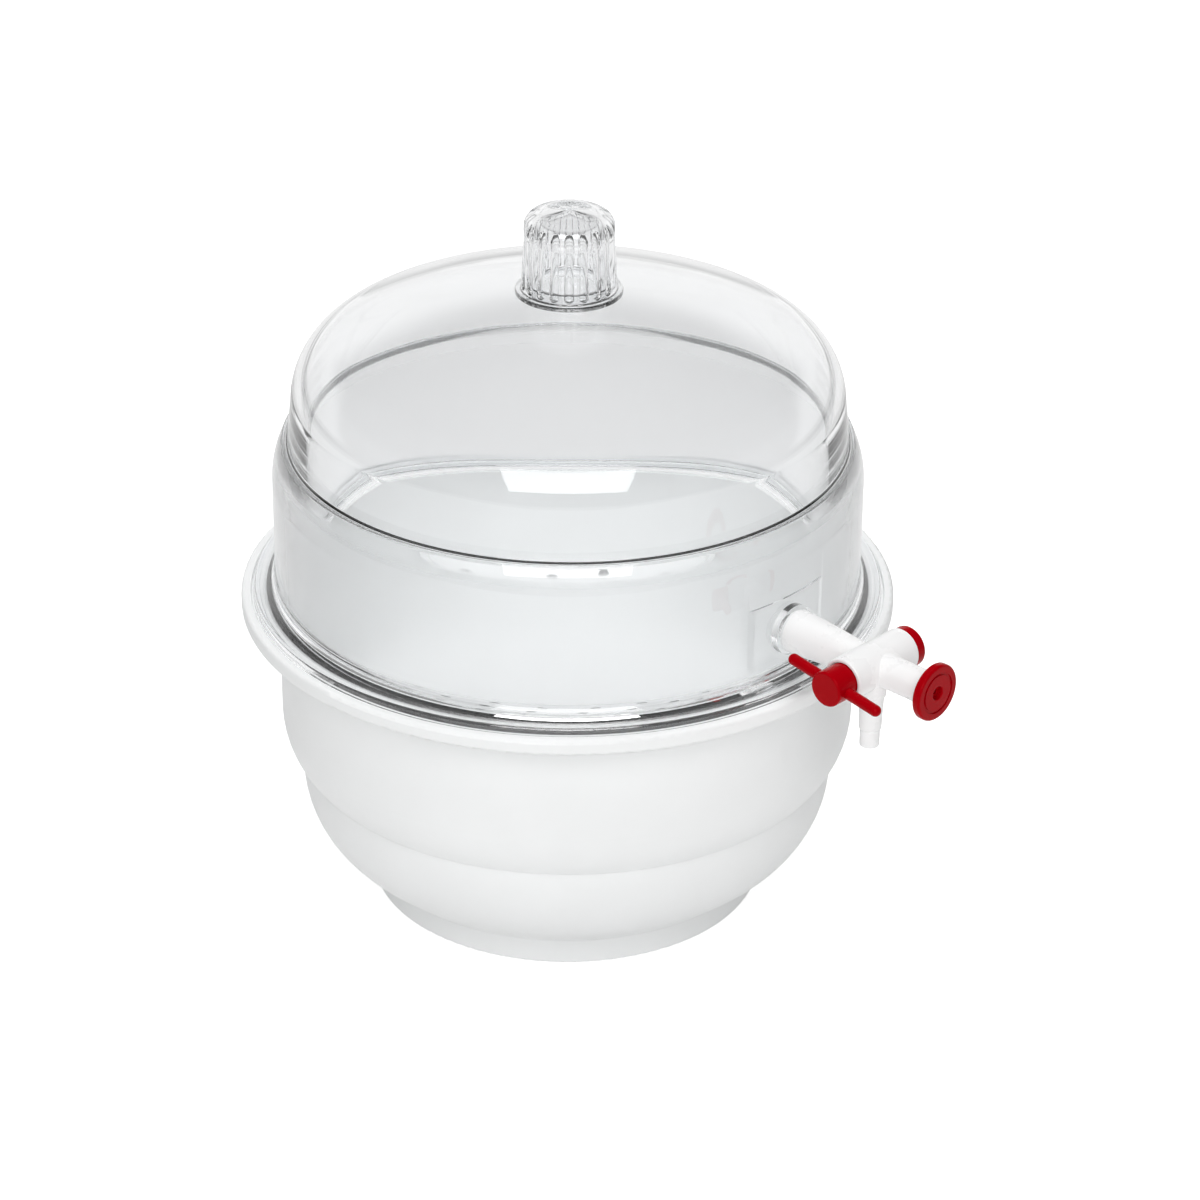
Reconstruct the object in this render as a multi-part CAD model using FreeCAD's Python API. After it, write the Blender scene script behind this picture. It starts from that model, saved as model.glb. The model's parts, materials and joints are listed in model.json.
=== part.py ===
import FreeCAD, Part
import math
import os

# Vacuum desiccator, nominal size 250: a white bowl on a foot ring, a perforated plate on its ledge,
# a clear domed lid with a fluted knob, and a three-way stopcock screwed into the lid's port.
# Millimetres. Origin on the vessel's axis, in the plane of the foot. +Z up, the port points along +X.

# Vessel
mouth_r = 125.2          # inner radius of the bowl and of the lid where they meet
edge_round = 0.5         # small edges of every moulding
past = 1.0               # how far a cut runs past the face it opens

# Bowl
base_wall = 3.6
floor_t = 4.0
foot_h = 14.5
foot_setback = 3.2       # from the belly's lower edge in to the top of the foot
foot_draft = 1.4         # how much narrower the foot is at its bottom
foot_wall = 4.2
foot_round = 0.8
foot_root_round = 2.0
belly_edge_round = 1.2
floor_round = 8.0
ledge_round = 0.6
belly_cone_h = 9.5       # straight flank between the foot and the curved belly
belly_lower_deg = 50.0   # where the belly's curve meets that flank
belly_upper_deg = 10.7   # where it ends at the crease
belly_curve_r = 43.0
crease_depth = 2.3
crease_h = 1.6
bulge_curve_r = 32.0
bulge_deg = 39.6
upper_wall_h = 51.4      # straight wall between the bulge and the flange
base_flange_t = 5.0
under_flange_r = 3.0
rim_h = 2.6              # lip of the flange that stands round the lid
rim_w = 4.4
rim_round = 1.9
gate_r = 4.0
gate_h = 1.2

# Sealing ring
seal_w = 4.2
seal_t = 3.4
seal_sink = 3.05         # depth of its groove
seal_in = 9.4            # from the mouth out to the ring's centre line
seal_play = 0.1          # groove to ring, at each side
seal_seat_gap = 0.1

# Perforated plate
ledge_deg = 36.8         # where the bulge's inner curve ends in the ledge
plate_play = 1.0
plate_t = 4.0
plate_rim_w = 4.0
plate_rim_h = 1.5
plate_hole_r = 3.0
plate_edge = 4.0         # from the outer holes to the rib under the plate
plate_rings = 4
plate_rib_h = 2.0
plate_rib_w = 3.0
plate_round = 0.8

# Lid
lid_wall = 5.0
lid_gap = 0.6            # between the two flanges, held open by the sealing ring
lid_flange_t = 4.7
lid_flange_w = 10.0
lid_play = 0.8           # lid's flange inside the bowl's rim
flange_round = 0.8
flange_draft_deg = 8.0   # of the flange's outer face
flange_top_round = 1.4
lid_cove = 7.8           # wide hollow curve from the flange's top into the skirt
skirt_h = 51.3           # straight wall from the flange to the shoulder
shoulder_r = 35.0
shoulder_deg = 30.2
lip_deg = 24.5           # where the shoulder's curve runs out, straight up to its lip
lip_round = 1.1
step_inset = 7.0         # from the outside of the skirt in to the groove above the shoulder
step_fillet = 1.7
step_t = 2.3             # wall under the groove
step_w = 5.3             # width of the flat step inside
step_in = 6.0            # from the groove in to the foot of the dome's inner wall
step_inner_deg = 18.0    # where the shoulder's inner curve runs out
step_inner_round = 1.0
dome_inset = 9.1         # from the outside of the skirt in to the dome's wall
dome_wall_h = 19.1
dome_draft_deg = 4.8
dome_corner_r = 30.5
dome_cap_r = 245.7

# Knob
knob_flange_r = 23.4
knob_flange_t = 1.9
knob_flange_round = 0.8
knob_r = 20.9            # at its foot
knob_draft = 1.2
knob_h = 39.0            # from the dome's top
knob_corner_r = 10.0
knob_wall = 3.6
knob_crown_t = 4.2
knob_disc_r = 5.4
knob_disc_h = 0.5
knob_disc_round = 0.2
crown_rise = 5.0
flutes = 20
flute_r = 2.4
flute_depth = 1.5
flute_low = 0.8          # lowest point of a flute above the knob's flange
knob_turn_deg = 8.0
bond_gap = 0.1
spigot_h = 4.0           # ring on the dome that centres the knob
spigot_wall = 2.5
spigot_play = 0.3

# Port in the lid
port_rise = 26.9         # port axis above the lid's lower face
pad_w = 47.0
pad_h = 30.6
pad_proud = 0.6          # raised field of the skirt that carries the port
boss_r = 11.2
boss_l = 2.8
thread_r = 6.0
thread_play = 0.05
thread_short = 1.6       # end of the thread behind the lid's inner face
port_seal_t = 1.2
port_seal_r = 9.0

# Stopcock body
collar_r = 9.7
collar_l = 4.0
collar_round = 2.0
inlet_l = 42.3           # from the port's seal to the barrel's axis
neck_r = 7.4
neck_round = 4.0
arm_l = 31.2             # from the barrel's axis to the end of the straight arm
arm_r = 7.3
flow_r = 2.6
barrel_r = 9.6
barrel_front = 19.4      # barrel axis is Y; its front, towards -Y, carries the handle
barrel_back = 18.6
barrel_round = 0.8
recess_depth = 1.2
nozzle_l = 38.4          # from the flow axis down to the tip
nozzle_root_r = 6.2
nozzle_root_l = 14.0
nozzle_top_r = 5.4
nozzle_step_r = 4.8
nozzle_tip_r = 4.25
nozzle_tip_l = 8.0
nozzle_step_round = 0.8
nozzle_flow_r = 2.2
tip_round = 0.6

# Plug, which turns in the barrel
plug_front_r = 6.6
plug_back_r = 5.7
plug_play = 0.05
plug_flow_r = 2.4
plug_turn_deg = 8.8      # as it was left: the handle's outer end a little low
tang_w = 6.4
tang_l = 7.0
tang_play = 0.1
stud_r = 3.4
stud_grip = 1.4          # how far the stud reaches into the nut's web

# Handle
hub_r = 7.8
hub_l = 11.8
hub_play = 0.4           # between hub and barrel, along and across
hub_round = 1.0
bar_r = 2.5
bar_reach = 25.0         # from the hub's axis to each rounded end

# Nut at the back of the plug, with its washer and elastic ring
washer_t = 1.0
washer_r = 6.9
back_play = 0.1
ring_cord = 1.7
nut_r = 9.0
nut_skirt = 1.8
nut_web = 2.4
nut_gap = 0.4
nut_dish = 0.5
nut_play = 0.05
nut_round = 0.9

# Vent bush in the end of the straight arm
bush_r = 12.5
bush_t = 3.6
bush_gap = 0.3
bush_round = 1.2
bush_ring_r = 8.6
bush_ring_w = 1.2
bush_ring_sink = 0.5
bush_mouth_r = 3.0
bush_mouth_l = 2.2
bush_hole_r = 1.5
bush_spigot_r = 4.8
bush_spigot_l = 11.0
bush_play = 0.05

# Worked out: bowl
base_r = mouth_r + base_wall
bulge_centre_r = base_r - bulge_curve_r
bulge_low_r = bulge_centre_r + bulge_curve_r * math.cos(math.radians(bulge_deg))
crease_r = bulge_low_r - crease_depth
belly_centre_r = crease_r - belly_curve_r * math.cos(math.radians(belly_upper_deg))
belly_z = foot_h + belly_cone_h + belly_curve_r * math.sin(math.radians(belly_lower_deg))
crease_z = belly_z + belly_curve_r * math.sin(math.radians(belly_upper_deg))
bulge_z = crease_z + crease_h + bulge_curve_r * math.sin(math.radians(bulge_deg))
flank_slope = math.tan(math.radians(belly_lower_deg))
flank_r = belly_centre_r + belly_curve_r * math.cos(math.radians(belly_lower_deg))
belly_edge_r = flank_r - belly_cone_h * flank_slope
foot_top_r = belly_edge_r - foot_setback
foot_r = foot_top_r - foot_draft
seal_r = mouth_r + seal_in
flange_low_z = bulge_z + upper_wall_h
base_top_z = flange_low_z + base_flange_t
floor_z = foot_h + floor_t
inner_bulge_r = bulge_curve_r - base_wall
inner_belly_r = belly_curve_r - base_wall
ledge_z = bulge_z - inner_bulge_r * math.sin(math.radians(ledge_deg))
ledge_r = bulge_centre_r + inner_bulge_r * math.cos(math.radians(ledge_deg))
ledge_in_r = belly_centre_r + inner_belly_r * math.cos(math.radians(belly_upper_deg))
plate_rib_r = ledge_in_r - plate_play
plate_pitch = (plate_rib_r - plate_rib_w - plate_edge - plate_hole_r) / plate_rings

# Worked out: lid
lid_r = mouth_r + lid_wall
lid_flange_r = lid_r + lid_flange_w
rim_in_r = lid_flange_r + lid_play
base_flange_r = rim_in_r + rim_w
lid_z = base_top_z + lid_gap
skirt_low_z = lid_z + lid_flange_t
shoulder_z = skirt_low_z + skirt_h
shoulder_top_z = shoulder_z + shoulder_r * math.sin(math.radians(shoulder_deg))
lip_low_r = lid_r - shoulder_r + shoulder_r * math.cos(math.radians(lip_deg))
lip_low_z = shoulder_z + shoulder_r * math.sin(math.radians(lip_deg))
lip_r = lip_low_r - (shoulder_top_z - lip_low_z) * math.tan(math.radians(lip_deg))
dome_r = lid_r - dome_inset
dome_centre_r = dome_r - dome_corner_r
dome_centre_z = shoulder_top_z + dome_wall_h
cap_drop = math.sqrt((dome_cap_r - dome_corner_r) ** 2 - dome_centre_r ** 2)
cap_centre_z = dome_centre_z - cap_drop
cap_deg = math.degrees(math.atan2(cap_drop, dome_centre_r))
apex_z = cap_centre_z + dome_cap_r
knob_top_z = apex_z + knob_h
knob_top_r = knob_r - knob_draft

# Worked out: port and stopcock
port_z = lid_z + port_rise
pad_x = lid_r + pad_proud
boss_x = pad_x + boss_l
shoulder_x = boss_x + port_seal_t
barrel_x = shoulder_x + inlet_l
arm_x = barrel_x + arm_l
recess_r = hub_r + hub_play
plug_front_y = -(barrel_front - recess_depth)
plug_back_y = barrel_back - back_play
washer_y = barrel_back + back_play
ring_y = washer_y + washer_t
nut_floor_y = ring_y + ring_cord
nut_y = barrel_back + nut_gap
nut_back_y = nut_floor_y + nut_web
stud_y = nut_floor_y + stud_grip
hub_y = plug_front_y - hub_play
bar_y = hub_y - hub_l / 2


class Arc:
    """An arc of an outline, given by its centre, radius and two angles."""

    def __init__(self, centre, radius, start_deg, end_deg):
        self.centre, self.radius = centre, radius
        self.start_deg, self.end_deg = start_deg, end_deg

    def at(self, share):
        angle = math.radians(self.start_deg + share * (self.end_deg - self.start_deg))
        u, v = self.centre
        return u + self.radius * math.cos(angle), v + self.radius * math.sin(angle)


def corner_trim(before, point, after, radius):
    """The two ends and the middle of the arc that rounds a corner, kept inside its two sides."""
    to_before = (before[0] - point[0], before[1] - point[1])
    to_after = (after[0] - point[0], after[1] - point[1])
    len_b, len_a = math.hypot(*to_before), math.hypot(*to_after)
    ub = (to_before[0] / len_b, to_before[1] / len_b)
    ua = (to_after[0] / len_a, to_after[1] / len_a)
    half = math.acos(max(-1.0, min(1.0, ub[0] * ua[0] + ub[1] * ua[1]))) / 2
    trim = min(radius / math.tan(half), 0.45 * min(len_b, len_a))
    radius = trim * math.tan(half)
    bis = (ub[0] + ua[0], ub[1] + ua[1])
    reach = (radius / math.sin(half) - radius) / math.hypot(*bis)
    return (
        (point[0] + ub[0] * trim, point[1] + ub[1] * trim),
        (point[0] + bis[0] * reach, point[1] + bis[1] * reach),
        (point[0] + ua[0] * trim, point[1] + ua[1] * trim),
    )


def outline_edges(items, place):
    """Edges of a closed outline. An item is a corner (u, v), a rounded corner (u, v, radius) or an Arc."""
    stops = []
    for item in items:
        if isinstance(item, Arc):
            stops.append((item.at(0), 0, item.at(0.5)))
            stops.append((item.at(1), 0, None))
        else:
            stops.append((item[:2], item[2] if len(item) > 2 else 0, None))
    pieces = []
    for i, (point, radius, middle) in enumerate(stops):
        if radius:
            start, mid, end = corner_trim(stops[i - 1][0], point, stops[(i + 1) % len(stops)][0], radius)
            pieces += [(start, mid), (end, None)]
        else:
            pieces.append((point, middle))
    edges = []
    for i, (point, middle) in enumerate(pieces):
        following = pieces[(i + 1) % len(pieces)][0]
        if math.dist(point, following) < 1e-6:
            continue
        if middle:
            edges.append(Part.Arc(place(*point), place(*middle), place(*following)).toShape())
        else:
            edges.append(Part.LineSegment(place(*point), place(*following)).toShape())
    return edges


AXES = {
    "x": (FreeCAD.Vector(1, 0, 0), lambda r, along: FreeCAD.Vector(along, 0, r)),
    "y": (FreeCAD.Vector(0, 1, 0), lambda r, along: FreeCAD.Vector(r, along, 0)),
    "z": (FreeCAD.Vector(0, 0, 1), lambda r, along: FreeCAD.Vector(r, 0, along)),
}


def turned(items, axis="z", at=(0, 0, 0)):
    """A solid of revolution. Items give (radius, distance along the axis)."""
    direction, place = AXES[axis]
    face = Part.Face(Part.Wire(Part.__sortEdges__(outline_edges(items, place))))
    solid = face.revolve(FreeCAD.Vector(0, 0, 0), direction, 360)
    solid.translate(FreeCAD.Vector(*at))
    return solid


def rod(radius, start, end):
    """A round bar between two points."""
    a, b = FreeCAD.Vector(*start), FreeCAD.Vector(*end)
    return Part.makeCylinder(radius, (b - a).Length, a, b - a)


def block(low, high):
    size = [b - a for a, b in zip(low, high)]
    return Part.makeBox(*size, FreeCAD.Vector(*low))


def tip(radius, at):
    return Part.makeSphere(radius, FreeCAD.Vector(*at))


def turn_with_plug(shape):
    """Turns a shape about the barrel's axis to where the plug was left."""
    shape.rotate(FreeCAD.Vector(barrel_x, 0, port_z), FreeCAD.Vector(0, 1, 0), plug_turn_deg)
    return shape


def base_bowl():
    rim_top_z = base_top_z + rim_h
    groove_half = seal_w / 2 + seal_play
    belly = (belly_centre_r, belly_z)
    bulge = (bulge_centre_r, bulge_z)
    lower_in = belly_centre_r + inner_belly_r * math.cos(math.radians(belly_lower_deg))
    lower_in_z = belly_z - inner_belly_r * math.sin(math.radians(belly_lower_deg))
    floor_r = lower_in - (lower_in_z - floor_z) * flank_slope
    outside = [
        (0, foot_h - gate_h),
        (gate_r, foot_h - gate_h),
        (gate_r, foot_h),
        (foot_top_r - foot_wall, foot_h, foot_root_round),
        (foot_r - foot_wall, 0, foot_round),
        (foot_r, 0, foot_round),
        (foot_top_r, foot_h),
        (belly_edge_r, foot_h, belly_edge_round),
        Arc(belly, belly_curve_r, -belly_lower_deg, belly_upper_deg),
        Arc(bulge, bulge_curve_r, -bulge_deg, 0),
        (base_r, flange_low_z, under_flange_r),
    ]
    flange = [
        (base_flange_r, flange_low_z, rim_round),
        (base_flange_r, rim_top_z, rim_round),
        (rim_in_r, rim_top_z, rim_round / 3),
        (rim_in_r, base_top_z),
        (seal_r + groove_half, base_top_z),
        (seal_r + groove_half, base_top_z - seal_sink),
        (seal_r - groove_half, base_top_z - seal_sink),
        (seal_r - groove_half, base_top_z),
        (mouth_r, base_top_z, flange_round),
    ]
    inside = [
        Arc(bulge, inner_bulge_r, 0, -ledge_deg),
        (ledge_in_r, ledge_z, ledge_round),
        Arc(belly, inner_belly_r, belly_upper_deg, -belly_lower_deg),
        (floor_r, floor_z, floor_round),
        (0, floor_z),
    ]
    return turned(outside + flange + inside)


def seal_ring():
    low_z = base_top_z - seal_sink + seal_seat_gap
    inner_r, outer_r = seal_r - seal_w / 2, seal_r + seal_w / 2
    return turned([
        (inner_r, low_z),
        (outer_r, low_z),
        (outer_r, low_z + seal_t, edge_round),
        (inner_r, low_z + seal_t, edge_round),
    ])


def plate_holes():
    """Holes on rings, six more on each ring than on the one inside it."""
    low, high = ledge_z - past, ledge_z + plate_t + past
    holes = [rod(plate_hole_r, (0, 0, low), (0, 0, high))]
    for ring in range(1, plate_rings + 1):
        for i in range(6 * ring):
            angle = math.radians(60 / ring * i)
            x, y = ring * plate_pitch * math.cos(angle), ring * plate_pitch * math.sin(angle)
            holes.append(rod(plate_hole_r, (x, y, low), (x, y, high)))
    return holes


def desiccator_plate():
    plate_r = ledge_r - plate_play
    top_z = ledge_z + plate_t
    disc = turned([
        (0, ledge_z),
        (plate_rib_r - plate_rib_w, ledge_z),
        (plate_rib_r - plate_rib_w, ledge_z - plate_rib_h),
        (plate_rib_r, ledge_z - plate_rib_h),
        (plate_rib_r, ledge_z),
        (plate_r, ledge_z),
        (plate_r, top_z + plate_rim_h, plate_round),
        (plate_r - plate_rim_w, top_z + plate_rim_h, plate_round),
        (plate_r - plate_rim_w, top_z),
        (0, top_z),
    ])
    return disc.cut(plate_holes())


def cap_arc(radius, start_deg, end_deg):
    """A stretch of the dome's cap."""
    return Arc((0, cap_centre_z), radius, start_deg, end_deg)


def cap_angle(radius):
    """Where on the cap a given distance from the axis lies."""
    return math.degrees(math.acos(radius / dome_cap_r))


def lid_outline():
    corner = (dome_centre_r, dome_centre_z)
    shoulder = (lid_r - shoulder_r, shoulder_z)
    groove_r = lid_r - step_inset
    inner_shoulder_r = shoulder_r - lid_wall
    inner_corner_r = dome_corner_r - lid_wall
    flange_top_r = lid_flange_r - lid_flange_t * math.tan(math.radians(flange_draft_deg))
    step_r = groove_r - step_in
    step_z = shoulder_top_z - step_t
    spigot_r = knob_r - knob_wall - spigot_play
    spigot_z = apex_z + spigot_h
    return [
        (mouth_r, lid_z, flange_round),
        (lid_flange_r, lid_z, edge_round),
        (flange_top_r, skirt_low_z, flange_top_round),
        (lid_r, skirt_low_z, lid_cove),
        Arc(shoulder, shoulder_r, 0, lip_deg),
        (lip_r, shoulder_top_z, lip_round),
        (groove_r, shoulder_top_z, step_fillet),
        Arc(corner, dome_corner_r, dome_draft_deg, cap_deg),
        cap_arc(dome_cap_r, cap_deg, cap_angle(spigot_r)),
        (spigot_r, spigot_z, edge_round),
        (spigot_r - spigot_wall, spigot_z, edge_round),
        cap_arc(dome_cap_r, cap_angle(spigot_r - spigot_wall), 90),
        cap_arc(dome_cap_r - lid_wall, 90, cap_deg),
        Arc(corner, inner_corner_r, cap_deg, dome_draft_deg),
        (step_r, step_z, step_inner_round),
        (step_r + step_w, step_z, step_inner_round),
        Arc(shoulder, inner_shoulder_r, step_inner_deg, 0),
    ]


def lid_shell():
    shell = turned(lid_outline())
    inside_x = mouth_r - lid_wall
    low_z = port_z - pad_h / 2
    pad = block((inside_x, -pad_w / 2, low_z), (boss_x, pad_w / 2, low_z + pad_h))
    pad = pad.common(Part.makeCylinder(pad_x, pad_h, FreeCAD.Vector(0, 0, low_z)))
    boss = rod(boss_r, (inside_x, 0, port_z), (boss_x, 0, port_z))
    hollow = Part.makeCylinder(mouth_r, skirt_h, FreeCAD.Vector(0, 0, skirt_low_z))
    port = pad.fuse(boss).cut(hollow)
    bore = rod(thread_r + thread_play, (inside_x, 0, port_z), (boss_x + past, 0, port_z))
    return shell.fuse(port).cut(bore)


def knob_body():
    """The knob's turned form: flange, drafted wall, rounded crown with its gate disc, hollow inside."""
    seat_z = cap_centre_z + dome_cap_r * math.cos(math.asin(knob_flange_r / dome_cap_r))
    low_z, flange_z = seat_z - past, seat_z + knob_flange_t
    corner_z = knob_top_z - knob_disc_h - crown_rise - knob_corner_r
    crown_z = knob_top_z - knob_disc_h
    inner_r = knob_r - knob_wall
    inner_top_r = knob_top_r - knob_wall
    inner_z = crown_z - knob_crown_t
    solid = turned([
        (0, low_z),
        (knob_flange_r, low_z),
        (knob_flange_r, flange_z, knob_flange_round),
        (knob_r, flange_z, edge_round),
        (knob_top_r, corner_z),
        (knob_top_r, crown_z - crown_rise, knob_corner_r),
        (knob_disc_r, crown_z),
        (knob_disc_r, knob_top_z, knob_disc_round),
        (0, knob_top_z),
    ])
    hollow = turned([
        (0, low_z - past),
        (inner_r, low_z - past),
        (inner_top_r, inner_z - crown_rise, knob_corner_r - knob_wall / 2),
        (0, inner_z),
    ])
    dome = tip(dome_cap_r + bond_gap, (0, 0, cap_centre_z))
    return solid.cut([hollow, dome]), flange_z


def lid_knob():
    body, flange_z = knob_body()
    lean = knob_draft / (knob_top_z - flange_z)
    low_r = knob_r - flute_depth + flute_r
    cutters = []
    for i in range(flutes):
        angle = math.radians(knob_turn_deg + 360 / flutes * i)
        low_z = flange_z + flute_low + flute_r
        high_r = low_r - lean * (knob_top_z + past - low_z)
        low = (low_r * math.cos(angle), low_r * math.sin(angle), low_z)
        high = (high_r * math.cos(angle), high_r * math.sin(angle), knob_top_z + past)
        cutters.append(rod(flute_r, low, high).fuse(tip(flute_r, low)))
    return body.cut(cutters)


def port_seal():
    ring = rod(port_seal_r, (boss_x, 0, port_z), (shoulder_x, 0, port_z))
    hole = rod(thread_r + thread_play, (boss_x - past, 0, port_z), (shoulder_x + past, 0, port_z))
    return ring.cut(hole)


def plug_taper(extra, low_y, high_y):
    """The plug's cone, wider by extra, between two places along the barrel."""
    slope = (plug_back_r - plug_front_r) / (plug_back_y - plug_front_y)
    return turned([
        (0, low_y),
        (plug_front_r + extra + slope * (low_y - plug_front_y), low_y),
        (plug_front_r + extra + slope * (high_y - plug_front_y), high_y),
        (0, high_y),
    ], "y", (barrel_x, 0, port_z))


def stopcock_tubes():
    """Inlet and straight arm on one axis, with the thread that screws into the lid."""
    thread_x = mouth_r + thread_short
    return turned([
        (0, thread_x),
        (thread_r, thread_x, edge_round),
        (thread_r, shoulder_x),
        (collar_r, shoulder_x, edge_round),
        (collar_r, shoulder_x + collar_l, collar_round),
        (neck_r, barrel_x - barrel_r, neck_round),
        (arm_r, barrel_x + barrel_r),
        (arm_r, arm_x, edge_round),
        (0, arm_x),
    ], "x", (0, 0, port_z))


def nozzle():
    """The hose nozzle, straight down from the barrel; heights are below the flow axis."""
    return turned([
        (0, 0),
        (nozzle_root_r, 0),
        (nozzle_root_r, -nozzle_root_l, nozzle_step_round),
        (nozzle_top_r, -nozzle_root_l, edge_round),
        (nozzle_step_r, tip_round + nozzle_tip_l - nozzle_l),
        (nozzle_tip_r, nozzle_tip_l - nozzle_l),
        (nozzle_tip_r, -nozzle_l, tip_round),
        (0, -nozzle_l),
    ], "z", (barrel_x, 0, port_z))


def stopcock_body():
    barrel = turned([
        (0, -barrel_front),
        (barrel_r, -barrel_front, barrel_round),
        (barrel_r, barrel_back, edge_round),
        (0, barrel_back),
    ], "y", (barrel_x, 0, port_z))
    body = barrel.fuse([stopcock_tubes(), nozzle()])
    flow = rod(flow_r, (mouth_r, 0, port_z), (arm_x + past, 0, port_z))
    socket_r = bush_spigot_r + bush_play
    socket = rod(socket_r, (arm_x - bush_spigot_l, 0, port_z), (arm_x + past, 0, port_z))
    down = rod(nozzle_flow_r, (barrel_x, 0, port_z), (barrel_x, 0, port_z - nozzle_l - past))
    recess = rod(recess_r, (barrel_x, -barrel_front - past, port_z), (barrel_x, plug_front_y, port_z))
    bore = plug_taper(plug_play, -barrel_front - past, barrel_back + past)
    return body.cut([flow, socket, down, recess, bore])


def stopcock_plug():
    tang = block(
        (barrel_x - tang_w / 2, hub_y - tang_l, port_z - tang_w / 2),
        (barrel_x + tang_w / 2, plug_front_y + past, port_z + tang_w / 2),
    )
    stud = rod(stud_r, (barrel_x, plug_back_y - past, port_z), (barrel_x, stud_y, port_z))
    along = rod(plug_flow_r, (barrel_x - barrel_r, 0, port_z), (barrel_x + barrel_r, 0, port_z))
    down = rod(plug_flow_r, (barrel_x, 0, port_z), (barrel_x, 0, port_z - barrel_r))
    plug = plug_taper(0, plug_front_y, plug_back_y).fuse([tang, stud]).cut([along, down])
    return turn_with_plug(plug)


def plug_handle():
    hub = turned([
        (0, hub_y - hub_l),
        (hub_r, hub_y - hub_l, hub_round),
        (hub_r, hub_y, hub_round / 2),
        (0, hub_y),
    ], "y", (barrel_x, 0, port_z))
    end_x = bar_reach - bar_r
    inner, outer = (barrel_x - end_x, bar_y, port_z), (barrel_x + end_x, bar_y, port_z)
    bar = rod(bar_r, inner, outer)
    half = tang_w / 2 + tang_play
    socket = block(
        (barrel_x - half, hub_y - tang_l - tang_play, port_z - half),
        (barrel_x + half, hub_y + past, port_z + half),
    )
    handle = hub.fuse([bar, tip(bar_r, inner), tip(bar_r, outer)]).cut(socket)
    return turn_with_plug(handle)


def thrust_washer():
    disc = rod(washer_r, (barrel_x, washer_y, port_z), (barrel_x, ring_y, port_z))
    return disc.cut(rod(stud_r + nut_play, (barrel_x, 0, port_z), (barrel_x, ring_y + past, port_z)))


def tension_ring():
    """Elastic ring between washer and nut that keeps the plug drawn into its seat."""
    inner_r, outer_r = stud_r + nut_play, nut_r - nut_skirt
    at = FreeCAD.Vector(barrel_x, ring_y + ring_cord / 2, port_z)
    return Part.makeTorus((inner_r + outer_r) / 2, ring_cord / 2 - nut_play, at, FreeCAD.Vector(0, 1, 0))


def retaining_nut():
    return turned([
        (stud_r + nut_play, nut_floor_y),
        (nut_r - nut_skirt, nut_floor_y),
        (nut_r - nut_skirt, nut_y),
        (nut_r, nut_y, edge_round),
        (nut_r, nut_back_y, nut_round),
        (nut_r - 2 * nut_skirt, nut_back_y),
        (nut_r - 2 * nut_skirt, nut_back_y - nut_dish),
        (0, nut_back_y - nut_dish),
        (0, stud_y + nut_play),
        (stud_r + nut_play, stud_y + nut_play),
    ], "y", (barrel_x, 0, port_z))


def vent_bush():
    back_x = arm_x + bush_gap
    face_x = back_x + bush_t
    ring_in, ring_out = bush_ring_r - bush_ring_w / 2, bush_ring_r + bush_ring_w / 2
    return turned([
        (bush_hole_r, back_x - bush_spigot_l + past),
        (bush_spigot_r, back_x - bush_spigot_l + past, edge_round),
        (bush_spigot_r, back_x),
        (bush_r, back_x, bush_round / 2),
        (bush_r, face_x, bush_round),
        (ring_out, face_x),
        (ring_out, face_x - bush_ring_sink),
        (ring_in, face_x - bush_ring_sink),
        (ring_in, face_x),
        (bush_mouth_r, face_x, edge_round),
        (bush_mouth_r, face_x - bush_mouth_l),
        (bush_hole_r, face_x - bush_mouth_l),
    ], "x", (0, 0, port_z))


PARTS = [
    base_bowl,
    seal_ring,
    desiccator_plate,
    lid_shell,
    lid_knob,
    port_seal,
    stopcock_body,
    stopcock_plug,
    plug_handle,
    thrust_washer,
    tension_ring,
    retaining_nut,
    vent_bush,
]


def main():
    os.makedirs("parts", exist_ok=True)
    for make in PARTS:
        shape = make()
        if not shape.isValid() or shape.Volume <= 0:
            print("not a valid solid:", make.__name__)
        shape.exportStep(os.path.join("parts", make.__name__ + ".step"))
        print(make.__name__, len(shape.Solids), "solid,", round(shape.Volume / 1000, 2), "cm3")


main()
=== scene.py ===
import bmesh
import bpy
import json
import math
from mathutils import Matrix, Vector


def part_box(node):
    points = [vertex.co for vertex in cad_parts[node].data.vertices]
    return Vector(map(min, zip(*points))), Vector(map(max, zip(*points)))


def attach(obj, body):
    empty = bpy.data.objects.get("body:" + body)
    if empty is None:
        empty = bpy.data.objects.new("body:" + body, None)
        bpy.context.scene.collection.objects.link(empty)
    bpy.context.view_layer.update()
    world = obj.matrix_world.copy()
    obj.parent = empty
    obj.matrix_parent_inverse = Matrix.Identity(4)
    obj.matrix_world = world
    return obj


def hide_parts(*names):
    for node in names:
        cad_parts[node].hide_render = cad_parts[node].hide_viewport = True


# Looks of the vacuum desiccator, in metres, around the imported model.
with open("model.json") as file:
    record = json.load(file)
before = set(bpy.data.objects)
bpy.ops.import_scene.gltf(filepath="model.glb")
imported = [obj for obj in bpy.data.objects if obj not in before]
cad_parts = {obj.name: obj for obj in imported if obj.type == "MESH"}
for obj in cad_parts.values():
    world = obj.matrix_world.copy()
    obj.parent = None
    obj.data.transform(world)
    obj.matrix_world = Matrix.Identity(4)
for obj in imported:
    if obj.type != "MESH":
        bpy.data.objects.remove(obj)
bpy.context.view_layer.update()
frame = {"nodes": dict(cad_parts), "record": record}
nodes = frame["nodes"]

scene = bpy.context.scene
scene.view_settings.view_transform = "Standard"
scene.cycles.max_bounces = 24
scene.cycles.diffuse_bounces = 5
scene.cycles.glossy_bounces = 8
scene.cycles.transmission_bounces = 20
scene.cycles.transparent_max_bounces = 24
scene.cycles.caustics_reflective = False
scene.cycles.use_denoising = True

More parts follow.
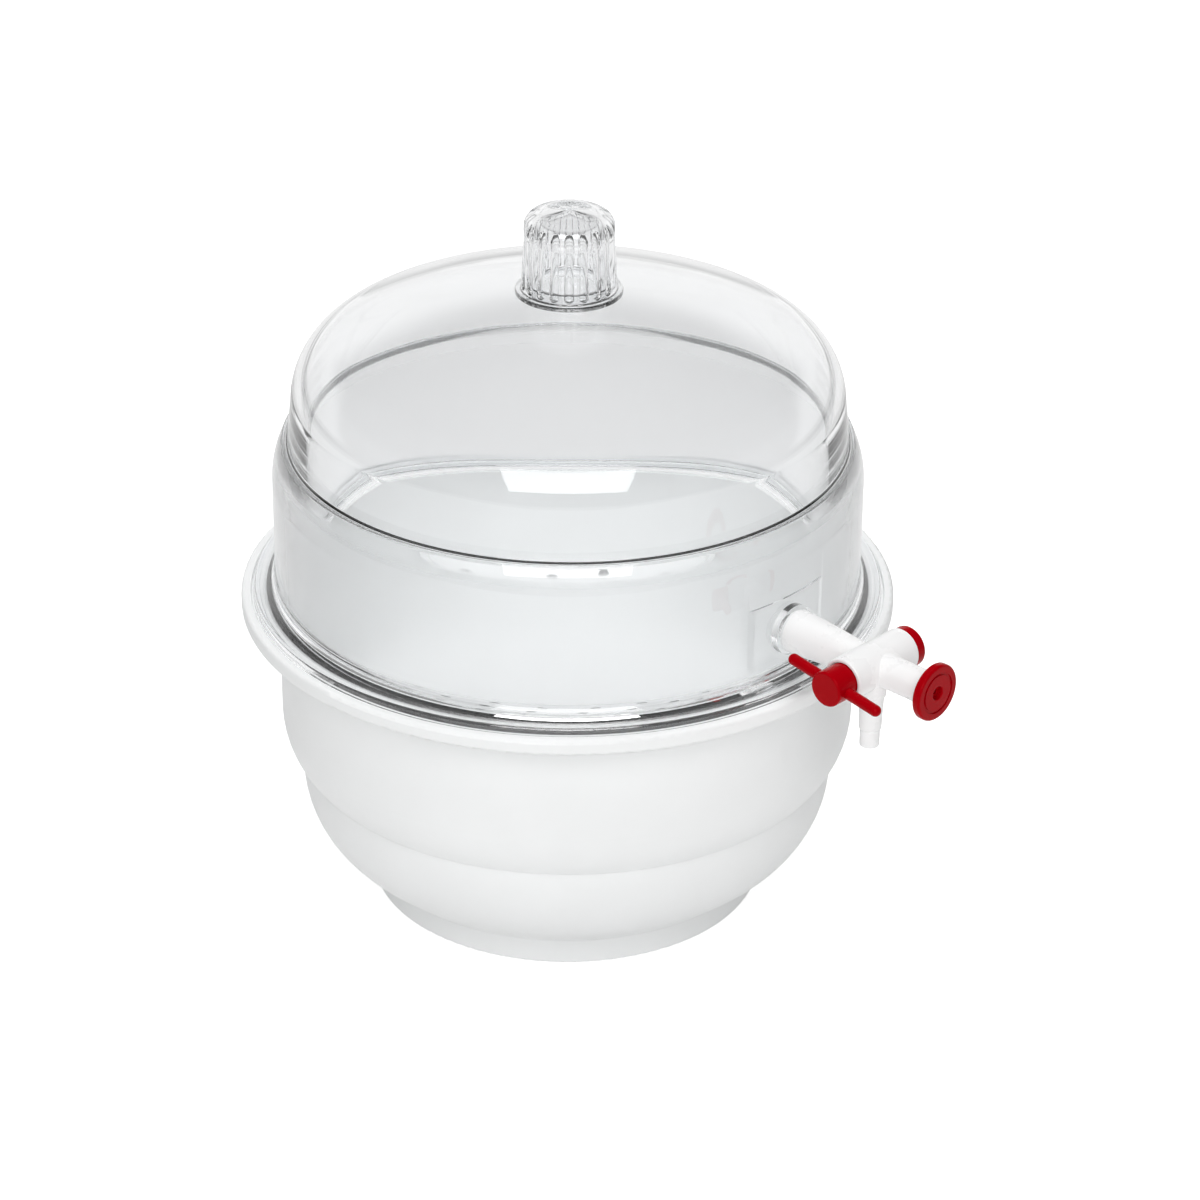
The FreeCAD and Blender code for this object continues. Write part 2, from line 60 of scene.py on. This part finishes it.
# Camera, as the photograph was taken
PICTURE = 1200                     # pixels across the picture
LENS_MM = 120
SENSOR_MM = 36
CAMERA_DISTANCE = 1.792
CAMERA_AZIMUTH = math.radians(44)
CAMERA_ELEVATION = math.radians(27.9)
AIM_HEIGHT = 0.1355                # point on the vessel's axis that lies at the picture's mid height
AXIS_PIXEL = 567.6                 # column of that point
ROLL = 0.0048                      # the photograph leans this much to the right

FOCAL_PIXELS = LENS_MM / SENSOR_MM * PICTURE
CLIP_START = 0.1
CLIP_END = 50


# Materials

WHITE = (1, 1, 1, 1)


class Nodes:
    """A short way to write a node tree."""

    def __init__(self, tree):
        self.tree = tree

    def add(self, kind, **settings):
        node = self.tree.nodes.new(kind)
        for name, value in settings.items():
            setattr(node, name, value)
        return node

    def link(self, source, target):
        self.tree.links.new(source, target)

    def math(self, operation, a, b=0.0):
        node = self.add("ShaderNodeMath", operation=operation)
        for socket, value in zip(node.inputs, (a, b)):
            if hasattr(value, "is_output"):
                self.link(value, socket)
            else:
                socket.default_value = value
        return node.outputs[0]

    def coords(self):
        return self.add("ShaderNodeTexCoord").outputs["Object"]

    def noise(self, pattern, coords):
        """A pattern is the noise's scale, detail and roughness."""
        node = self.add("ShaderNodeTexNoise")
        for name, number in zip(("Scale", "Detail", "Roughness"), pattern):
            node.inputs[name].default_value = number
        self.link(coords, node.inputs["Vector"])
        return node.outputs["Fac"]

    def length(self, vector):
        node = self.add("ShaderNodeVectorMath", operation="LENGTH")
        self.link(vector, node.inputs[0])
        return node.outputs["Value"]

    def along(self, vector, direction):
        node = self.add("ShaderNodeVectorMath", operation="DOT_PRODUCT")
        self.link(vector, node.inputs[0])
        node.inputs[1].default_value = direction
        return node.outputs["Value"]

    def ramp(self, value, low, high, from_value, to_value):
        """Maps low..high smoothly to from_value..to_value."""
        node = self.add("ShaderNodeMapRange", interpolation_type="SMOOTHSTEP")
        self.link(value, node.inputs["Value"])
        limits = {"From Min": low, "From Max": high, "To Min": from_value, "To Max": to_value}
        for name, number in limits.items():
            node.inputs[name].default_value = number
        return node.outputs["Result"]

    def colours(self, factor, first, second):
        node = self.add("ShaderNodeMix", data_type="RGBA")
        self.link(factor, node.inputs["Factor"])
        node.inputs["A"].default_value = (*first, 1)
        node.inputs["B"].default_value = (*second, 1)
        return node.outputs["Result"]

    def bump(self, height, strength, distance, normal=None):
        node = self.add("ShaderNodeBump")
        node.inputs["Strength"].default_value = strength
        node.inputs["Distance"].default_value = distance
        self.link(height, node.inputs["Height"])
        if normal is not None:
            self.link(normal, node.inputs["Normal"])
        return node.outputs["Normal"]

    def glow(self, strength):
        """White light from the surface itself. The strength is a number or a socket."""
        node = self.add("ShaderNodeEmission")
        node.inputs["Color"].default_value = WHITE
        if hasattr(strength, "is_output"):
            self.link(strength, node.inputs["Strength"])
        else:
            node.inputs["Strength"].default_value = strength
        return node.outputs[0]

    def mix(self, share, first, second):
        node = self.add("ShaderNodeMixShader")
        for socket, source in zip(node.inputs, (share, first, second)):
            self.link(source, socket)
        return node.outputs[0]


def new_material(name):
    material = bpy.data.materials.new(name)
    material.use_nodes = True
    material.node_tree.nodes.clear()
    n = Nodes(material.node_tree)
    shader = n.add("ShaderNodeBsdfPrincipled")
    output = n.add("ShaderNodeOutputMaterial")
    n.link(shader.outputs[0], output.inputs[0])
    return material, n, shader, output


# Noise patterns, each a scale, a detail and a roughness
FLOW_MARKS = (18, 4, 0.55)
RUBBED_PATCHES = (45, 5, 0.6)
MOULD_GRAIN = (2600, 2, 0.5)
FACE_WAVES = (60, 2, 0.5)
HAIRLINES = (140, 6, 0.7)
CLEAR_RIPPLE = (22, 1.5, 0.4)

WAVE_STRENGTH = 0.25
WAVE_DEPTH = 0.0004
GRAIN_DEPTH = 0.00006
PLASTIC_IOR = 1.49


def moulded_plastic(name, light, dark, roughness, grain, shine=0.5, tint=(1, 1, 1)):
    """Injection-moulded plastic: faint flow marks in the colour, fine mould grain, a few rubbed patches."""
    material, n, shader, output = new_material(name)
    where = n.coords()
    flow = n.ramp(n.noise(FLOW_MARKS, where), 0.3, 0.7, 0, 1)
    n.link(n.colours(flow, light, dark), shader.inputs["Base Color"])
    rubbed = n.noise(RUBBED_PATCHES, where)
    n.link(n.ramp(rubbed, 0.35, 0.7, roughness * 0.85, roughness * 1.2), shader.inputs["Roughness"])
    waves = n.bump(n.noise(FACE_WAVES, where), WAVE_STRENGTH, WAVE_DEPTH)
    n.link(n.bump(n.noise(MOULD_GRAIN, where), grain, GRAIN_DEPTH, waves), shader.inputs["Normal"])
    shader.inputs["IOR"].default_value = PLASTIC_IOR
    shader.inputs["Specular IOR Level"].default_value = shine
    shader.inputs["Specular Tint"].default_value = (*tint, 1)
    return material


CLEAR_COLOUR = (0.975, 0.98, 0.985, 1)
CLEAR_IOR = 1.585
LAMP_RAY_COLOUR = (0.99, 0.992, 0.995, 1)
HAIRLINE_ROUGHNESS = 0.03
RIPPLE_STRENGTH = 0.12
RIPPLE_DEPTH = 0.0008

# The skirt's inner face is hazy between these radii and heights, so the bowl's inside doesn't show sharply
HAZE = 0.3                         # its roughness
HAZE_IN_R = 0.12
HAZE_OUT_R = 0.1277                # between the skirt's inner and outer faces
HAZE_EDGE = 0.001
HAZE_LOW = 0.151
HAZE_LOW_FADE = 0.002
HAZE_TOP = 0.2145
HAZE_TOP_FADE = 0.0095


def skirt_haze(n, where):
    """Roughness of the skirt's inner face, 0 elsewhere."""
    place = n.add("ShaderNodeSeparateXYZ")
    n.link(where, place.inputs[0])
    flat = n.add("ShaderNodeCombineXYZ")
    n.link(place.outputs["X"], flat.inputs["X"])
    n.link(place.outputs["Y"], flat.inputs["Y"])
    radius, height = n.length(flat.outputs[0]), place.outputs["Z"]
    haze = n.ramp(radius, HAZE_OUT_R - HAZE_EDGE, HAZE_OUT_R + HAZE_EDGE, HAZE, 0)
    for limit in (
        n.ramp(radius, HAZE_IN_R - HAZE_EDGE, HAZE_IN_R + HAZE_EDGE, 0, 1),
        n.ramp(height, HAZE_LOW, HAZE_LOW + HAZE_LOW_FADE, 0, 1),
        n.ramp(height, HAZE_TOP - HAZE_TOP_FADE, HAZE_TOP, 1, 0),
    ):
        haze = n.math("MULTIPLY", haze, limit)
    return haze


def clear_plastic():
    """Clear polycarbonate. Lamps shine through it, and its surface has a faint ripple and hairlines."""
    material, n, shader, output = new_material("clear_polycarbonate")
    where = n.coords()
    shader.inputs["Base Color"].default_value = CLEAR_COLOUR
    shader.inputs["Transmission Weight"].default_value = 1.0
    shader.inputs["IOR"].default_value = CLEAR_IOR
    hairlines = n.ramp(n.noise(HAIRLINES, where), 0.45, 0.8, 0.0, HAIRLINE_ROUGHNESS)
    n.link(n.math("ADD", hairlines, skirt_haze(n, where)), shader.inputs["Roughness"])
    ripple = n.bump(n.noise(CLEAR_RIPPLE, where), RIPPLE_STRENGTH, RIPPLE_DEPTH)
    n.link(ripple, shader.inputs["Normal"])
    path = n.add("ShaderNodeLightPath")
    lamp_ray = n.math("MAXIMUM", path.outputs["Is Shadow Ray"], path.outputs["Is Diffuse Ray"])
    through = n.add("ShaderNodeBsdfTransparent")
    through.inputs["Color"].default_value = LAMP_RAY_COLOUR
    n.link(n.mix(lamp_ray, shader.outputs[0], through.outputs[0]), output.inputs[0])
    return material


# A finish for each material slot: lighter and darker tone, roughness, depth of the grain
MATERIALS = {
    "white_bowl": moulded_plastic("white_polypropylene", (0.86, 0.87, 0.87), (0.84, 0.85, 0.85), 0.38, 0.35),
    "white_plate": moulded_plastic("plate_polypropylene", (0.86, 0.87, 0.87), (0.83, 0.84, 0.84), 0.42, 0.4),
    "clear_plastic": clear_plastic(),
    "seal_rubber": moulded_plastic("milky_silicone", (0.8, 0.81, 0.81), (0.74, 0.75, 0.75), 0.5, 0.3),
    "white_valve": moulded_plastic("white_valve_plastic", (0.88, 0.88, 0.88), (0.86, 0.86, 0.86), 0.28, 0.2),
    "plug_plastic": moulded_plastic("waxy_white_plastic", (0.93, 0.93, 0.92), (0.9, 0.9, 0.89), 0.45, 0.2),
    "red_plastic": moulded_plastic("red_valve_plastic", (0.37, 0.0, 0.004), (0.33, 0.0, 0.003), 0.22, 0.15,
                                   shine=0.1, tint=(1, 0.3, 0.3)),
}


def dress_nodes():
    """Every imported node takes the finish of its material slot."""
    for part in frame["record"]["subparts"]:
        mesh = nodes[part["node"]].data
        for i in range(len(mesh.materials)):
            mesh.materials[i] = MATERIALS[part["material_slot"]]


# The lid's wall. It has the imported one's outline, but the full cove and groove fillet, sloped sides on
# the raised field round the port, and many more facets, so that light bends through it evenly.

MOUTH_R = 0.1252
LID_WALL = 0.005
FLANGE_T = 0.0047
FLANGE_W = 0.01
FLANGE_ROUND = 0.0008
FLANGE_DRAFT = math.radians(8)
FLANGE_TOP_ROUND = 0.0014
EDGE_ROUND = 0.0005
COVE_R = 0.0078
SKIRT_H = 0.0513
SHOULDER_R = 0.035
SHOULDER_DEG = 30.2
LIP_DEG = 24.5
LIP_ROUND = 0.0011
GROOVE_INSET = 0.007
GROOVE_FILLET = 0.0017
STEP_T = 0.0023
STEP_W = 0.0053
STEP_IN = 0.006
STEP_INNER_DEG = 18
STEP_INNER_ROUND = 0.001
DOME_INSET = 0.0091
DOME_WALL_H = 0.0191
DOME_DRAFT_DEG = 4.8
DOME_CORNER_R = 0.0305
DOME_CAP_R = 0.2457
SPIGOT_R = 0.017
SPIGOT_WALL = 0.0025
SPIGOT_H = 0.004
PORT_RISE = 0.0269
PAD_W = 0.047
PAD_H = 0.0306
PAD_PROUD = 0.0006
PAD_SLOPE = 0.00196                # its sides and its bottom run out this gently
PAD_SINK = 0.0001
BOSS_R = 0.0112
BOSS_END = 0.1336                  # the boss's face, from the axis
BORE_R = 0.00605
TURN_STEPS = 540                   # facets round the axis
ARC_STEP_DEG = 4.0
ARC_STEP = 0.003
LONG_RUN = 1.05 * ARC_STEP
EDGE_STEP = 0.0003                 # a longer run has a point this near to each end, to keep its shading flat
SAME_POINT = 1e-6
ROD_STEPS = 96
FIELD_STEPS = 24
SHARP_EDGE_DEG = 30


def arc_points(centre, radius, start_deg, end_deg):
    turn = abs(end_deg - start_deg)
    steps = math.ceil(max(turn / ARC_STEP_DEG, math.radians(turn) * radius / ARC_STEP))
    angles = [math.radians(start_deg + (end_deg - start_deg) * i / steps) for i in range(steps + 1)]
    return [(centre[0] + radius * math.cos(a), centre[1] + radius * math.sin(a)) for a in angles]


def rounded(before, point, after, radius):
    """A corner's rounding, from the side that comes before it to the side that comes after."""
    before, point, after = Vector(before), Vector(point), Vector(after)
    first, second = (before - point).normalized(), (after - point).normalized()
    half = first.angle(second) / 2
    trim = radius / math.tan(half)
    centre = point + (first + second).normalized() * radius / math.sin(half)
    start, end = point + first * trim - centre, point + second * trim - centre
    start_deg = math.degrees(math.atan2(start.y, start.x))
    turn = math.degrees(math.atan2(start.x * end.y - start.y * end.x, start.dot(end)))
    return arc_points(centre, radius, start_deg, start_deg + turn)


def profile(items):
    """Points of a closed outline, of corners (r, z), rounded corners (r, z, radius) and lists of points."""
    ends = [(item[0], item[-1]) if isinstance(item, list) else (item[:2], item[:2]) for item in items]
    points = []
    for i, item in enumerate(items):
        if isinstance(item, list):
            points += item
        elif len(item) == 3:
            points += rounded(ends[i - 1][1], item[:2], ends[(i + 1) % len(items)][0], item[2])
        else:
            points.append(item)
    dense = []
    for i, point in enumerate(points):
        here, following = Vector(point), Vector(points[(i + 1) % len(points)])
        dense.append(here)
        run = (following - here).length
        if run > LONG_RUN:
            dense.append(here.lerp(following, EDGE_STEP / run))
            dense.append(following.lerp(here, EDGE_STEP / run))
    return [point for i, point in enumerate(dense) if (point - dense[i - 1]).length > SAME_POINT]


def lid_profile(low_z):
    lid_r = MOUTH_R + LID_WALL
    flange_r = lid_r + FLANGE_W
    flange_z = low_z + FLANGE_T
    shoulder_z = flange_z + SKIRT_H
    centre_r = lid_r - SHOULDER_R
    top_z = shoulder_z + SHOULDER_R * math.sin(math.radians(SHOULDER_DEG))
    lip_low_r = centre_r + SHOULDER_R * math.cos(math.radians(LIP_DEG))
    lip_low_z = shoulder_z + SHOULDER_R * math.sin(math.radians(LIP_DEG))
    lip_r = lip_low_r - (top_z - lip_low_z) * math.tan(math.radians(LIP_DEG))
    groove_r = lid_r - GROOVE_INSET
    corner = (lid_r - DOME_INSET - DOME_CORNER_R, top_z + DOME_WALL_H)
    cap_drop = math.sqrt((DOME_CAP_R - DOME_CORNER_R) ** 2 - corner[0] ** 2)
    cap = (0, corner[1] - cap_drop)
    cap_deg = math.degrees(math.atan2(cap_drop, corner[0]))
    spigot_z = cap[1] + DOME_CAP_R + SPIGOT_H
    outer_deg = math.degrees(math.acos(SPIGOT_R / DOME_CAP_R))
    inner_deg = math.degrees(math.acos((SPIGOT_R - SPIGOT_WALL) / DOME_CAP_R))
    step_r, step_z = groove_r - STEP_IN, top_z - STEP_T
    return profile([
        (MOUTH_R, low_z, FLANGE_ROUND),
        (flange_r, low_z, EDGE_ROUND),
        (flange_r - FLANGE_T * math.tan(FLANGE_DRAFT), flange_z, FLANGE_TOP_ROUND),
        (lid_r, flange_z, COVE_R),
        arc_points((centre_r, shoulder_z), SHOULDER_R, 0, LIP_DEG),
        (lip_r, top_z, LIP_ROUND),
        (groove_r, top_z, GROOVE_FILLET),
        arc_points(corner, DOME_CORNER_R, DOME_DRAFT_DEG, cap_deg),
        arc_points(cap, DOME_CAP_R, cap_deg, outer_deg),
        (SPIGOT_R, spigot_z, EDGE_ROUND),
        (SPIGOT_R - SPIGOT_WALL, spigot_z, EDGE_ROUND),
        arc_points(cap, DOME_CAP_R, inner_deg, 90),
        arc_points(cap, DOME_CAP_R - LID_WALL, 90, cap_deg),
        arc_points(corner, DOME_CORNER_R - LID_WALL, cap_deg, DOME_DRAFT_DEG),
        (step_r, step_z, STEP_INNER_ROUND),
        (step_r + STEP_W, step_z, STEP_INNER_ROUND),
        arc_points((centre_r, shoulder_z), SHOULDER_R - LID_WALL, STEP_INNER_DEG, 0),
    ])


def turned_mesh(name, points, steps):
    """A closed mesh turned about the vertical axis."""
    shape = bmesh.new()
    rings = []
    for r, z in points:
        if r < SAME_POINT:
            rings.append([shape.verts.new((0, 0, z))] * steps)
        else:
            angles = [2 * math.pi * i / steps for i in range(steps)]
            rings.append([shape.verts.new((r * math.cos(a), r * math.sin(a), z)) for a in angles])
    for i, lower in enumerate(rings):
        upper = rings[(i + 1) % len(rings)]
        if lower[0] is lower[1] and upper[0] is upper[1]:
            continue
        for j in range(steps):
            k = (j + 1) % steps
            corners = [lower[j], lower[k], upper[k], upper[j]]
            shape.faces.new(list(dict.fromkeys(corners)))
    bmesh.ops.recalc_face_normals(shape, faces=shape.faces)
    mesh = bpy.data.meshes.new(name)
    shape.to_mesh(mesh)
    shape.free()
    return mesh


def rod_along_x(name, radius, start, end, z):
    points = [(0, start), (radius, start), (radius, end), (0, end)]
    mesh = turned_mesh(name, points, ROD_STEPS)
    mesh.transform(Matrix.Rotation(math.pi / 2, 4, "Y"))
    mesh.transform(Matrix.Translation((0, 0, z)))
    return mesh


def raised_field(name, low_z):
    """The field round the port: a piece of a ring between two upright planes, its back inside the skirt."""
    back_r = MOUTH_R + LID_WALL / 2
    high_z = low_z + PAD_H
    flat_r = MOUTH_R + LID_WALL - PAD_SINK
    shape = bmesh.new()
    columns = []
    for i in range(FIELD_STEPS + 1):
        y = PAD_W * (i / FIELD_STEPS - 0.5)
        slope = min(1, (PAD_W / 2 - abs(y)) / PAD_SLOPE)
        proud_r = flat_r + (PAD_SINK + PAD_PROUD) * slope
        section = [
            (back_r, low_z),
            (flat_r, low_z),
            (proud_r, low_z + PAD_SLOPE),
            (proud_r, high_z),
            (back_r, high_z),
        ]
        columns.append([shape.verts.new((math.sqrt(r ** 2 - y ** 2), y, z)) for r, z in section])
    for left, right in zip(columns, columns[1:]):
        for j in range(len(left)):
            k = (j + 1) % len(left)
            shape.faces.new((left[j], left[k], right[k], right[j]))
    shape.faces.new(columns[0])
    shape.faces.new(columns[-1])
    bmesh.ops.recalc_face_normals(shape, faces=shape.faces)
    mesh = bpy.data.meshes.new(name)
    shape.to_mesh(mesh)
    shape.free()
    return mesh


SEAL_IN_R = 0.1325
SEAL_OUT_R = 0.1367
SEAL_TOUCH_R = 0.1349              # from here out it touches the lid
SEAL_SLOPE = 0.0004
SEAL_SQUEEZE = 0.00003             # how far the lid's weight presses its underside into the ring


def make_seal():
    """The sealing ring as the lid presses on it, so that the lid's flange shows it where they touch."""
    low_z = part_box("seal_ring")[0][2]
    high_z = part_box("lid_shell")[0][2] + SEAL_SQUEEZE
    relaxed_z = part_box("seal_ring")[1][2]
    points = profile([
        (SEAL_IN_R, low_z),
        (SEAL_OUT_R, low_z),
        (SEAL_OUT_R, high_z),
        (SEAL_TOUCH_R, high_z),
        (SEAL_TOUCH_R - SEAL_SLOPE, relaxed_z),
        (SEAL_IN_R, relaxed_z),
    ])
    ring = bpy.data.objects.new("pressed_seal", turned_mesh("pressed_seal", points, TURN_STEPS))
    scene.collection.objects.link(ring)
    ring.data.materials.append(MATERIALS["seal_rubber"])
    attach(ring, "base")
    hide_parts("seal_ring")


def make_lid():
    """The lid's wall with its port cut and raised by booleans."""
    low_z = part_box("lid_shell")[0][2]
    port_z = low_z + PORT_RISE
    lid = bpy.data.objects.new("lid_wall", turned_mesh("lid_wall", lid_profile(low_z), TURN_STEPS))
    scene.collection.objects.link(lid)
    inside = MOUTH_R + LID_WALL / 2
    tools = [
        ("UNION", raised_field("port_field", port_z - PAD_H / 2)),
        ("UNION", rod_along_x("port_boss", BOSS_R, inside, BOSS_END, port_z)),
        ("DIFFERENCE", rod_along_x("port_bore", BORE_R, inside - LID_WALL, BOSS_END + LID_WALL, port_z)),
    ]
    helpers = []
    for operation, mesh in tools:
        helper = bpy.data.objects.new(mesh.name, mesh)
        scene.collection.objects.link(helper)
        helpers.append(helper)
        change = lid.modifiers.new(mesh.name, "BOOLEAN")
        change.solver = "MANIFOLD"
        change.operation = operation
        change.object = helper
    graph = bpy.context.evaluated_depsgraph_get()
    whole = bpy.data.meshes.new_from_object(lid.evaluated_get(graph))
    lid.modifiers.clear()
    lid.data = whole
    for helper in helpers:
        bpy.data.objects.remove(helper)
    whole.shade_smooth()
    whole.set_sharp_from_angle(angle=math.radians(SHARP_EDGE_DEG))
    whole.materials.clear()
    whole.materials.append(MATERIALS["clear_plastic"])
    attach(lid, "lid")
    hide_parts("lid_shell")


# Studio

FLOOR_COLOUR = (0.8, 0.8, 0.8, 1)
FLOOR_ROUGHNESS = 0.9
FLOOR_SIZE = 12.0
FLOOR_DROP = 0.0004                # keeps the foot clear of the floor
FLOOR_GLOW = 0.6                   # added where the camera sees the floor near the object
FAR_FLOOR_GLOW = 1.0               # and far from it
NEAR_FLOOR = 0.7
FAR_FLOOR = 1.6
GLASS_FLOOR_GLOW = 1.04            # the floor's look, in this share, in gloss and through the lid
GLASS_FLOOR_SHARE = 0.5
BOUNCE_GLOW = 0.13                 # light it throws up on the object
SWEEP_HALF = 1.3                   # to each side and to the front, gloss and glass see the room from here on
SWEEP_FRONT = 1.3
SWEEP_FADE = 0.2

# What gloss and glass see around the object. Heights are sines of the angle above the horizon.
SKY_DIM = 0.04                     # overhead
ROOM_DIM = 0.3                     # beside and in front, from the white up to where the sky darkens
SKY_LOW = 0.25
SKY_HIGH = 0.5
SIDE_TOP = -0.15                   # the height the white reaches beside and before the object
BACKDROP_TOP = 0.45                # and behind it
BACKDROP_TURN = 0.6                # how far round to the back it is that high
WHITE_FADE = 0.12
AMBIENT = 0.25                     # plain light from all around

# Name, degrees to the camera's right, degrees up, distance, width, height, watts, shown in gloss and glass
SOFTBOXES = [
    ("front_softbox", 0, 34, 2.6, 2.2, 1.6, 36, True),
    ("low_fill", 0, 4, 2.4, 0.9, 0.9, 3, False),
    ("left_softbox", -75, 40, 2.4, 1.8, 1.8, 2.5, False),
    ("back_fill", 180, 25, 2.4, 1.2, 1.2, 8, False),
    ("top_softbox", 180, 80, 2.4, 1.6, 1.6, 33, False),
]


def camera_frame():
    """Unit vectors to the camera's right, away from it along the floor, and from object to camera."""
    sin_a, cos_a = math.sin(CAMERA_AZIMUTH), math.cos(CAMERA_AZIMUTH)
    sin_e, cos_e = math.sin(CAMERA_ELEVATION), math.cos(CAMERA_ELEVATION)
    right = Vector((cos_a, sin_a, 0))
    away = Vector((-sin_a, cos_a, 0))
    back = Vector((sin_a * cos_e, -cos_a * cos_e, sin_e))
    return right, away, back


def floor_material():
    """Pale floor that keeps the object's shadow. Gloss and glass see it end in the dim room."""
    material, n, shader, output = new_material("studio_floor")
    shader.inputs["Base Color"].default_value = FLOOR_COLOUR
    shader.inputs["Roughness"].default_value = FLOOR_ROUGHNESS
    shader.inputs["Specular IOR Level"].default_value = 0.0
    path = n.add("ShaderNodeLightPath")
    shiny = n.math("MAXIMUM", path.outputs["Is Glossy Ray"], path.outputs["Is Transmission Ray"])
    place = n.add("ShaderNodeNewGeometry").outputs["Position"]
    seen = n.ramp(n.length(place), NEAR_FLOOR, FAR_FLOOR, FLOOR_GLOW, FAR_FLOOR_GLOW)
    direct = n.math("MULTIPLY", path.outputs["Is Camera Ray"], seen)
    indirect = n.math("MULTIPLY", path.outputs["Is Diffuse Ray"], BOUNCE_GLOW)
    share = n.math("MULTIPLY", shiny, GLASS_FLOOR_SHARE)
    both = n.add("ShaderNodeAddShader")
    n.link(n.mix(share, shader.outputs[0], n.glow(GLASS_FLOOR_GLOW)), both.inputs[0])
    n.link(n.glow(n.math("ADD", direct, indirect)), both.inputs[1])
    right, away, _ = camera_frame()
    aside = n.math("ABSOLUTE", n.along(place, right))
    before = n.math("MULTIPLY", n.along(place, away), -1.0)
    past_side = n.ramp(aside, SWEEP_HALF, SWEEP_HALF + SWEEP_FADE, 0, 1)
    past_front = n.ramp(before, SWEEP_FRONT, SWEEP_FRONT + SWEEP_FADE, 0, 1)
    off = n.math("MULTIPLY", shiny, n.math("MAXIMUM", past_side, past_front))
    n.link(n.mix(off, both.outputs[0], n.glow(ROOM_DIM)), output.inputs[0])
    return material


def make_floor():
    half = FLOOR_SIZE / 2
    corners = [(-half, -half, 0), (half, -half, 0), (half, half, 0), (-half, half, 0)]
    mesh = bpy.data.meshes.new("floor")
    mesh.from_pydata(corners, [], [(0, 1, 2, 3)])
    floor = bpy.data.objects.new("floor", mesh)
    scene.collection.objects.link(floor)
    mesh.materials.append(floor_material())
    floor.location.z = -FLOOR_DROP


def make_world():
    """White to the camera; to glass and gloss white low down and dim above; soft and even for light."""
    world = bpy.data.worlds.new("studio")
    scene.world = world
    world.use_nodes = True
    world.node_tree.nodes.clear()
    n = Nodes(world.node_tree)
    output = n.add("ShaderNodeOutputWorld")
    path = n.add("ShaderNodeLightPath")
    direction = n.add("ShaderNodeTexCoord").outputs["Generated"]
    split = n.add("ShaderNodeSeparateXYZ")
    n.link(direction, split.inputs[0])
    height = split.outputs["Z"]
    _, away, _ = camera_frame()
    top = n.ramp(n.along(direction, away), 0.0, BACKDROP_TURN, SIDE_TOP, BACKDROP_TOP)
    white = n.ramp(n.math("SUBTRACT", height, top), -WHITE_FADE, WHITE_FADE, 1.0, 0.0)
    sky = n.ramp(height, SKY_LOW, SKY_HIGH, ROOM_DIM, SKY_DIM)
    seen = n.math("ADD", white, n.math("MULTIPLY", sky, n.math("SUBTRACT", 1.0, white)))
    shiny = n.math("MAXIMUM", path.outputs["Is Glossy Ray"], path.outputs["Is Transmission Ray"])
    strength = n.math("MAXIMUM", n.math("MULTIPLY", shiny, seen), path.outputs["Is Camera Ray"])
    strength = n.math("ADD", strength, n.math("MULTIPLY", path.outputs["Is Diffuse Ray"], AMBIENT))
    back = n.add("ShaderNodeBackground")
    back.inputs["Color"].default_value = WHITE
    n.link(strength, back.inputs["Strength"])
    n.link(back.outputs[0], output.inputs[0])


def make_camera():
    right, _, back = camera_frame()
    up = back.cross(right)
    data = bpy.data.cameras.new("camera")
    data.lens = LENS_MM
    data.sensor_width = SENSOR_MM
    data.clip_start = CLIP_START
    data.clip_end = CLIP_END
    camera = bpy.data.objects.new("camera", data)
    scene.collection.objects.link(camera)
    axes = Matrix((right, up, back)).transposed()
    pan = Matrix.Rotation(-math.atan((PICTURE / 2 - AXIS_PIXEL) / FOCAL_PIXELS), 3, "Y")
    roll = Matrix.Rotation(math.atan(ROLL), 3, "Z")
    turned = (axes @ pan @ roll).to_4x4()
    turned.translation = Vector((0, 0, AIM_HEIGHT)) + back * CAMERA_DISTANCE
    camera.matrix_world = turned
    scene.camera = camera


def make_softbox(name, azimuth_deg, elevation_deg, distance, width, height, watts, shown):
    """A lamp that faces the object. Azimuth 0 is the camera's side; positive is to its right."""
    right, away, _ = camera_frame()
    azimuth, elevation = math.radians(azimuth_deg), math.radians(elevation_deg)
    flat = right * math.sin(azimuth) - away * math.cos(azimuth)
    direction = flat * math.cos(elevation) + Vector((0, 0, math.sin(elevation)))
    data = bpy.data.lights.new(name, "AREA")
    data.shape = "RECTANGLE"
    data.size = width
    data.size_y = height
    data.energy = watts
    lamp = bpy.data.objects.new(name, data)
    scene.collection.objects.link(lamp)
    lamp.location = direction * distance + Vector((0, 0, AIM_HEIGHT))
    lamp.rotation_mode = "QUATERNION"
    lamp.rotation_quaternion = direction.to_track_quat("Z", "Y")
    lamp.visible_camera = False
    lamp.visible_glossy = shown
    lamp.visible_transmission = shown


dress_nodes()
make_lid()
make_seal()
make_floor()
make_world()
for softbox in SOFTBOXES:
    make_softbox(*softbox)
make_camera()
